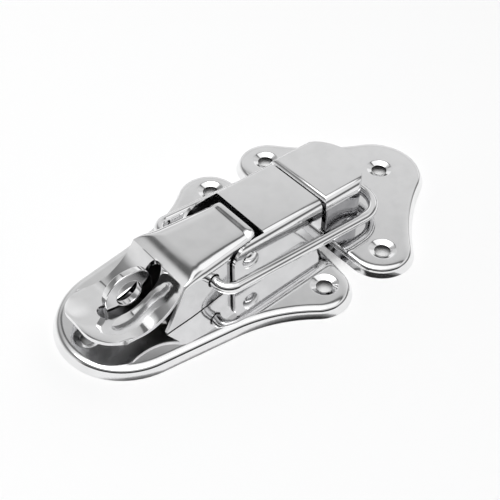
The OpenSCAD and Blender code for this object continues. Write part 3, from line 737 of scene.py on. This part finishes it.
bpy.ops.mesh.normals_make_consistent(inside=False)
bpy.ops.object.mode_set(mode="OBJECT")
to_pivot = Matrix.Translation(place(BAIL_X, 0, BAIL_Z))
bail.matrix_world = to_pivot @ Matrix.Rotation(bail_tilt, 4, "Y")
make_active(bail)
bpy.ops.object.transform_apply(location=True, rotation=True, scale=True)
soften_edges(bail, 0.25, angle=60, segments=3)
smooth(bail, 40)
finish_piece(bail, "bail_wire", "bail", "bail", wire_finish)
print("bail reaches x", round(max(v.co.x for v in bail.data.vertices) / MM - MID_X, 2))

# %% [markdown]
# The padlock staple is a thick stamped tongue with a round eye. It stands up through the slot in
# the lip, so a padlock in the eye stops the lever from lifting. Its outline is extruded to the
# sheet's thickness, the eye is punched through, and the stamped edges are rolled over a little.

# %% Padlock staple
STAPLE_X, STAPLE_Z, STAPLE_R, STAPLE_TOP, STAPLE_T, EYE_R = -54.7, 10.5, 6.7, 16.5, 2.0, 3.5
STAPLE_FOOT, REAR_SQUARE, STAPLE_TENONS = PLATE_H - 0.2, 0.78, (-58.05, -51.35)


def crown_point(c, s):
    """A point of the tongue's round top, which is squarer at the rear."""
    power = REAR_SQUARE if c > 0 else 1
    return (STAPLE_X + STAPLE_R * math.copysign(abs(c) ** power, c),
            STAPLE_Z + (STAPLE_TOP - STAPLE_Z) * abs(s) ** power)


tongue = [(STAPLE_X + STAPLE_R, STAPLE_FOOT)]
tongue += [crown_point(c, s) for c, s in arc((0, 0), 1, 0, 180, 48)]
tongue += [(STAPLE_X - STAPLE_R, STAPLE_FOOT)]
staple = add_prism(tongue, -STAPLE_T / 2, STAPLE_T / 2, "Y")
carve(staple, add_rod(STAPLE_X, STAPLE_Z, EYE_R, half_length=4, sides=56))
soften_edges(staple, 0.28, segments=3)
for tenon in tenons(STAPLE_TENONS, (0,), STAPLE_T):
    join_pieces(staple, tenon)
smooth(staple)
finish_piece(staple, "staple_eye", "frame", "padlock_staple", lever_finish)

# %% [markdown]
# The hood covers the catch. Its sides are folded like the bracket's, its near edge is rolled, and
# its far end is a shallow curve. We fold a channel again and keep only what lies inside two more
# outlines, one seen from the side and one from above. The floor is then deleted and the shell
# thickened. The keeper below it, with its rounded far corners, is what the bail really pulls on.

# %% Hood and keeper
HOOD_X0, HOOD_X1, HOOD_HALF, HOOD_END_R = 0.5, 19.3, 11.4, 12.5
HOOD_LOW, HOOD_TOP, HOOD_EDGE_R = 12.6, 16.0, 1.6


def hood_plan():
    """Outline from above: straight near edge and sides, and a curved far end."""
    reach = math.degrees(math.asin(HOOD_HALF / HOOD_END_R))
    end = arc((HOOD_X1 - HOOD_END_R, 0), HOOD_END_R, -reach, reach, 48)
    return end + [(HOOD_X0, HOOD_HALF), (HOOD_X0, -HOOD_HALF)]


def rolled_side(low, top):
    roll = arc((HOOD_X0 + HOOD_EDGE_R, top - HOOD_EDGE_R), HOOD_EDGE_R, 180, 90, 12)
    return [(HOOD_X0, low)] + roll + [(HOOD_X1 + 2, top), (HOOD_X1 + 2, low)]


hood = folded_channel(HOOD_X0 - 1, HOOD_X1 + 1, HOOD_HALF, HOOD_LOW, HOOD_TOP, FOLD_R)
side_view = rolled_side(HOOD_LOW - 1, HOOD_TOP)
carve(hood, add_prism(side_view, -PAST_SIDE, PAST_SIDE, "Y"), "INTERSECT")
carve(hood, add_prism(hood_plan(), HOOD_LOW - 2, HOOD_TOP + 2, "Z"), "INTERSECT")
soften_edges(hood, 0.5, angle=40, segments=4)
edit(hood, "FACE")
select_where(hood, "FACE", lambda f: f.normal.z < -0.4)
bpy.ops.mesh.delete(type="FACE")
bpy.ops.object.mode_set(mode="OBJECT")
thicken(hood, SHEET)
soften_edges(hood, 0.12, angle=60)
smooth(hood, 40)
finish_piece(hood, "hood_cap", "frame", "catch_hood", cover_finish)

KEEPER_X0, KEEPER_X1, KEEPER_HALF, KEEPER_R = 2.4, 17.8, 9.9, 5.0
KEEPER_TENONS, KEEPER_TENON_Y, KEEPER_TENON_T = (6.4, 12.4), 9.4, 1.0
keeper_plan = [(KEEPER_X0, KEEPER_HALF), (KEEPER_X0, -KEEPER_HALF)]
for side in (-1, 1):
    corner = (KEEPER_X1 - KEEPER_R, side * (KEEPER_HALF - KEEPER_R))
    keeper_plan += arc(corner, KEEPER_R, 45 * (side - 1), 45 * (side + 1), 16)
keeper = add_prism(keeper_plan, PLATE_H, HOOD_TOP - SHEET, "Z")
soften_edges(keeper, 0.5, segments=4)
for tenon in tenons(KEEPER_TENONS, (-KEEPER_TENON_Y, KEEPER_TENON_Y), KEEPER_TENON_T):
    join_pieces(keeper, tenon)
smooth(keeper, 40)
# The keeper gets the darkened plating, a painted shade.
finish_piece(keeper, "keeper_box", "frame", "catch_keeper", keeper_painted_shade)

# %% [markdown]
# The picture was taken on a white table in a white tent. A mirror-bright part shows that tent:
# white overhead, pale grey at the back, and darker where the camera and the photographer stand. A
# dark gap runs between the back and the ceiling, with a narrow strip at its end, and the part
# mirrors both as soft dark lines. The world's colour is worked out from the direction alone, so it
# stays put when the camera moves.

# %% Table and tent
TABLE_SIZE, TABLE_WHITE = 6, (0.95, 0.95, 0.95, 1)
start_piece()
bpy.ops.mesh.primitive_plane_add(size=TABLE_SIZE, location=(0, 0, 0))
table = bpy.context.object
table.name = "table"
table_paint = bpy.data.materials.new("table_white")
table_paint.use_nodes = True
shader = table_paint.node_tree.nodes["Principled BSDF"]
shader.inputs["Base Color"].default_value = TABLE_WHITE
shader.inputs["Roughness"].default_value = 0.9
shader.inputs["Specular IOR Level"].default_value = 0.0
table.data.materials.append(table_paint)

world = bpy.data.worlds.new("tent")
bpy.context.scene.world = world
world.use_nodes = True
nodes, links = world.node_tree.nodes, world.node_tree.links
background = nodes["Background"]
coords = nodes.new("ShaderNodeTexCoord")
parts = nodes.new("ShaderNodeSeparateXYZ")
links.new(coords.outputs["Generated"], parts.inputs["Vector"])


def grey_ramp(stops):
    """Grey by height: each stop is the sine of an elevation and a brightness."""
    ramp = nodes.new("ShaderNodeValToRGB")
    ramp.color_ramp.interpolation = "LINEAR"
    while len(ramp.color_ramp.elements) < len(stops):
        ramp.color_ramp.elements.new(0.5)
    for element, (position, value) in zip(ramp.color_ramp.elements, stops):
        element.position = position
        element.color = (value, value, value, 1)
    links.new(parts.outputs["Z"], ramp.inputs["Fac"])
    return ramp.outputs["Color"]


def lay_over(under, over, towards, low, high):
    """Lay one side of the tent over the rest, fading in towards a direction."""
    facing = nodes.new("ShaderNodeVectorMath")
    facing.operation = "DOT_PRODUCT"
    facing.inputs[1].default_value = towards
    links.new(coords.outputs["Generated"], facing.inputs[0])
    share = nodes.new("ShaderNodeMapRange")
    share.interpolation_type = "SMOOTHSTEP"
    share.inputs["From Min"].default_value = low
    share.inputs["From Max"].default_value = high
    links.new(facing.outputs["Value"], share.inputs["Value"])
    mixed = nodes.new("ShaderNodeMix")
    mixed.data_type = "RGBA"
    links.new(share.outputs["Result"], mixed.inputs["Factor"])
    links.new(under, mixed.inputs[6])
    links.new(over, mixed.inputs[7])
    return mixed.outputs[2]


CEILING = (1.0, 1.15)
LOW_BACK = [(0.0, 0.1), (0.13, 0.12), (0.19, 1.0), (0.36, 1.0), (0.46, 0.7), (0.55, 0.72),
            (0.6, 0.77), (0.66, 0.71)]
back_wall = grey_ramp(LOW_BACK + [(0.7055, 0.63), (0.755, 0.57), (0.80, 0.75), (0.85, 1.1),
                                  CEILING])
back_gap = grey_ramp(LOW_BACK + [(0.7055, 0.63), (0.765, 0.55), (0.79, 0.14), (0.82, 0.14),
                                 (0.85, 1.1), CEILING])
back_strip = grey_ramp(LOW_BACK + [(0.7, 0.2), (0.75, 0.13), (0.83, 0.13), (0.86, 1.0), CEILING])
left_wall = grey_ramp([(0.0, 0.9), (0.3, 0.75), (0.5, 0.3), (0.66, 0.22), (0.75, 0.2), (0.79, 0.55),
                       (0.83, 1.0), CEILING])
right_wall = grey_ramp([(0.0, 0.75), (0.12, 0.6), (0.2, 0.14), (0.42, 0.14), (0.58, 0.85),
                        (0.75, 0.9), (0.85, 1.1), CEILING])
front_gap = grey_ramp([(0.0, 0.35), (0.07, 0.03), (0.42, 0.03), (0.55, 0.3), (0.75, 0.5),
                       (0.85, 1.1), CEILING])
TO_LIP_END, TO_LEFT = (-1.0, 0.0, 0.0), (-0.772, 0.636, 0.0)
TO_RIGHT, TO_CAMERA = (0.5, -0.866, 0.0), (-0.636, -0.772, 0.0)
tent = lay_over(back_gap, back_strip, TO_LIP_END, -0.215, -0.18)
tent = lay_over(tent, back_wall, TO_LIP_END, -0.15, -0.1)
tent = lay_over(tent, left_wall, TO_LEFT, 0.25, 0.6)
tent = lay_over(tent, right_wall, TO_RIGHT, 0.35, 0.6)
tent = lay_over(tent, front_gap, TO_CAMERA, 0.3, 0.55)
links.new(tent, background.inputs["Color"])
background.inputs["Strength"].default_value = 1.0
print("tent ready")

# %% [markdown]
# One broad soft lamp overhead gives the table its light and a faint shadow. The camera stands where
# the photograph's camera stood, worked out from the outlines of the plates.

# %% Lamp and camera
LAMP_PLACE, LAMP_SIZE, LAMP_POWER = Vector((-0.15, 0.1, 0.9)), 0.9, 3.8
SENSOR, LENS, AIM_X, DISTANCE = 36, 64.8, -15.96, 243.5
AZIMUTH, ELEVATION = math.radians(-39.49), math.radians(44.87)
bpy.ops.object.light_add(type="AREA", location=LAMP_PLACE)
lamp = bpy.context.object
lamp.data.shape = "DISK"
lamp.data.size = LAMP_SIZE
lamp.data.energy = LAMP_POWER
lamp.rotation_euler = (-LAMP_PLACE).to_track_quat("-Z", "Y").to_euler()

bpy.ops.object.camera_add()
camera = bpy.context.object
camera.data.sensor_width = SENSOR
camera.data.lens = LENS
back = Vector((math.sin(AZIMUTH) * math.cos(ELEVATION),
               -math.cos(AZIMUTH) * math.cos(ELEVATION), math.sin(ELEVATION)))
camera.location = place(AIM_X, 0, 0) + back * (DISTANCE * MM)
camera.rotation_euler = (-back).to_track_quat("-Z", "Y").to_euler()
camera.data.clip_start = 0.01
bpy.context.scene.camera = camera
bpy.context.scene.view_settings.view_transform = "Standard"
print("camera at", [round(c, 4) for c in camera.location])

# %% [markdown]
# Last, we leave edit mode and deselect everything.

# %% Tidy up
start_piece()
